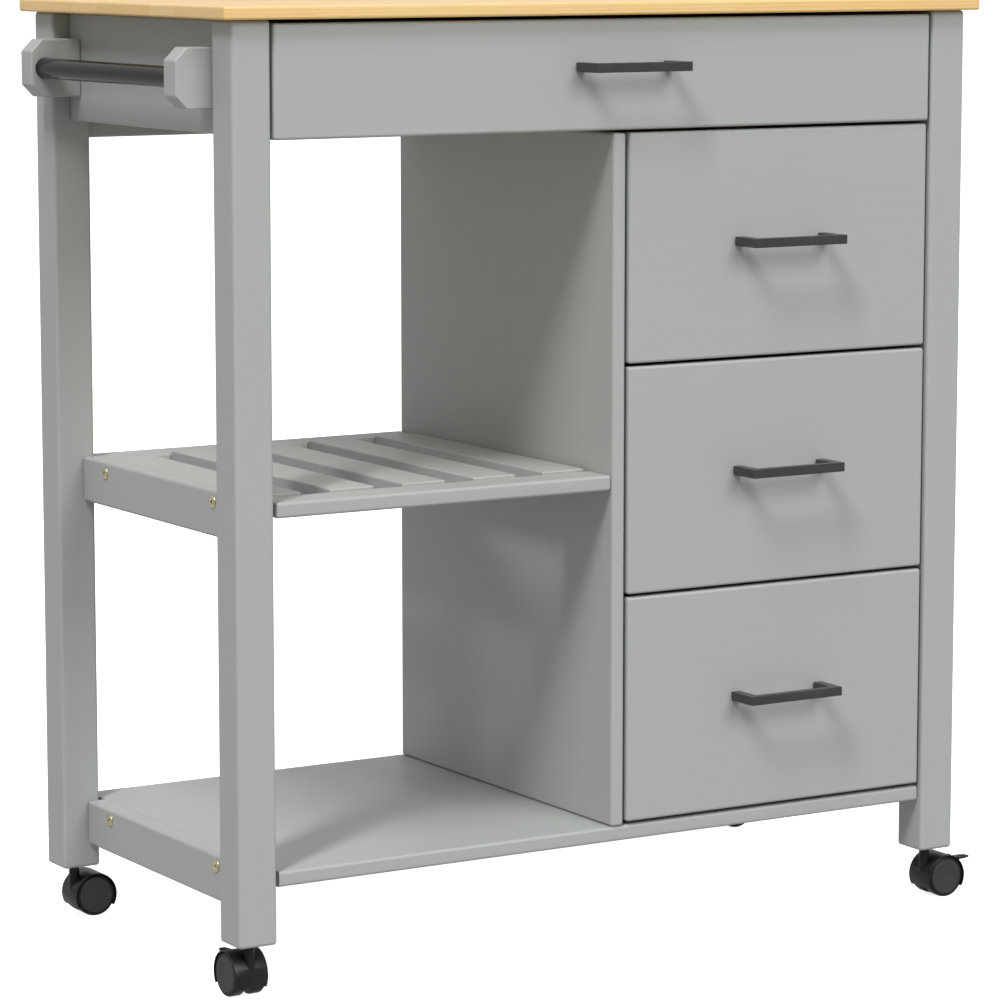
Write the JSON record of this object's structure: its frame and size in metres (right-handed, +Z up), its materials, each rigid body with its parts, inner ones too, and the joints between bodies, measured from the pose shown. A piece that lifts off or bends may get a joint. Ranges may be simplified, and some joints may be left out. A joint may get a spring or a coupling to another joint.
{
  "type": "kitchen island cart",
  "caption": "Grey-painted wooden kitchen cart on casters: natural wood worktop, full-width drawer, stacked deep drawers, slatted and solid open shelves, side towel bar.",
  "frame": {"origin": "on the floor, under the middle of the bounding box of the whole cart", "axes": "+Z up, +X along the worktop towards the drawer side, -Y out of the drawer fronts"},
  "size_m": [0.8968, 0.466, 0.922],
  "materials": {
    "grey_paint": "satin grey paint over pine, grain faintly telegraphing",
    "worktop_wood": "clear-lacquered edge-glued pine",
    "drawer_wood": "bare planed pine",
    "painted_fibreboard": "grey-painted thin fibreboard",
    "black_metal": "satin black powder coat",
    "brass": "brass-plated steel",
    "housing_plastic": "moulded black nylon, satin",
    "wheel_plastic": "moulded dark grey nylon, fine texture"
  },
  "bodies": {
    "cart": {"back_panel": "painted_fibreboard", "back_rail": "grey_paint", "bolt_bottom_back": "brass", "bolt_bottom_front": "brass", "bolt_shelf_back": "brass", "bolt_shelf_front": "brass", "bottom_end_rail": "grey_paint", "bottom_shelf": "grey_paint", "divider": "grey_paint", "leg_back_left": "grey_paint", "leg_back_right": "grey_paint", "leg_front_left": "grey_paint", "leg_front_right": "grey_paint", "runner_lower_left": "drawer_wood", "runner_lower_right": "drawer_wood", "runner_middle_left": "drawer_wood", "runner_middle_right": "drawer_wood", "runner_top_left": "drawer_wood", "runner_top_right": "drawer_wood", "runner_upper_left": "drawer_wood", "runner_upper_right": "drawer_wood", "shelf_back_strip": "grey_paint", "shelf_end_rail": "grey_paint", "shelf_front_strip": "grey_paint", "shelf_slat_1": "grey_paint", "shelf_slat_2": "grey_paint", "shelf_slat_3": "grey_paint", "shelf_slat_4": "grey_paint", "shelf_slat_5": "grey_paint", "side_apron": "grey_paint", "side_panel": "grey_paint", "towel_bar": "black_metal", "towel_bracket_back": "grey_paint", "towel_bracket_front": "grey_paint", "worktop": "worktop_wood"},
    "drawer_top": {"drawer_top_front": "grey_paint", "drawer_top_box": "drawer_wood", "drawer_top_handle": "black_metal"},
    "drawer_upper": {"drawer_upper_front": "grey_paint", "drawer_upper_box": "drawer_wood", "drawer_upper_handle": "black_metal"},
    "drawer_middle": {"drawer_middle_front": "grey_paint", "drawer_middle_box": "drawer_wood", "drawer_middle_handle": "black_metal"},
    "drawer_lower": {"drawer_lower_front": "grey_paint", "drawer_lower_box": "drawer_wood", "drawer_lower_handle": "black_metal"},
    "caster_front_left": {"caster_front_left_housing": "housing_plastic"},
    "wheels_front_left": {"caster_front_left_wheels": "wheel_plastic"},
    "brake_front_left": {"caster_front_left_brake": "housing_plastic"},
    "caster_front_right": {"caster_front_right_housing": "housing_plastic"},
    "wheels_front_right": {"caster_front_right_wheels": "wheel_plastic"},
    "brake_front_right": {"caster_front_right_brake": "housing_plastic"},
    "caster_back_left": {"caster_back_left_housing": "housing_plastic"},
    "wheels_back_left": {"caster_back_left_wheels": "wheel_plastic"},
    "caster_back_right": {"caster_back_right_housing": "housing_plastic"},
    "wheels_back_right": {"caster_back_right_wheels": "wheel_plastic"}
  },
  "joints": [
    {"name": "drawer_top_slide", "type": "slide", "parent": "cart", "child": "drawer_top", "axis": [0, -1, 0], "range_m": [0, 0.27]},
    {"name": "drawer_upper_slide", "type": "slide", "parent": "cart", "child": "drawer_upper", "axis": [0, -1, 0], "range_m": [0, 0.27]},
    {"name": "drawer_middle_slide", "type": "slide", "parent": "cart", "child": "drawer_middle", "axis": [0, -1, 0], "range_m": [0, 0.27]},
    {"name": "drawer_lower_slide", "type": "slide", "parent": "cart", "child": "drawer_lower", "axis": [0, -1, 0], "range_m": [0, 0.27]},
    {"name": "swivel_front_left", "type": "hinge", "parent": "cart", "child": "caster_front_left", "pos_m": [-0.3936, -0.177, 0.045], "axis": [0, 0, 1], "continuous": true},
    {"name": "roll_front_left", "type": "hinge", "parent": "caster_front_left", "child": "wheels_front_left", "pos_m": [-0.3936, -0.1605, 0.021], "axis": [-1, 0, 0], "continuous": true},
    {"name": "press_front_left", "type": "hinge", "parent": "caster_front_left", "child": "brake_front_left", "pos_m": [-0.3936, -0.13986, 0.03545], "axis": [-1, 0, 0], "range_deg": [0, 22]},
    {"name": "swivel_front_right", "type": "hinge", "parent": "cart", "child": "caster_front_right", "pos_m": [0.3924, -0.177, 0.045], "axis": [0, 0, 1], "continuous": true},
    {"name": "roll_front_right", "type": "hinge", "parent": "caster_front_right", "child": "wheels_front_right", "pos_m": [0.4089, -0.177, 0.021], "axis": [0, 1, 0], "continuous": true},
    {"name": "press_front_right", "type": "hinge", "parent": "caster_front_right", "child": "brake_front_right", "pos_m": [0.42954, -0.177, 0.03545], "axis": [0, 1, 0], "range_deg": [0, 22]},
    {"name": "swivel_back_left", "type": "hinge", "parent": "cart", "child": "caster_back_left", "pos_m": [-0.3936, 0.203, 0.045], "axis": [0, 0, 1], "continuous": true},
    {"name": "roll_back_left", "type": "hinge", "parent": "caster_back_left", "child": "wheels_back_left", "pos_m": [-0.3771, 0.203, 0.021], "axis": [0, 1, 0], "continuous": true},
    {"name": "swivel_back_right", "type": "hinge", "parent": "cart", "child": "caster_back_right", "pos_m": [0.3924, 0.203, 0.045], "axis": [0, 0, 1], "continuous": true},
    {"name": "roll_back_right", "type": "hinge", "parent": "caster_back_right", "child": "wheels_back_right", "pos_m": [0.4089, 0.203, 0.021], "axis": [0, 1, 0], "continuous": true}
  ]
}
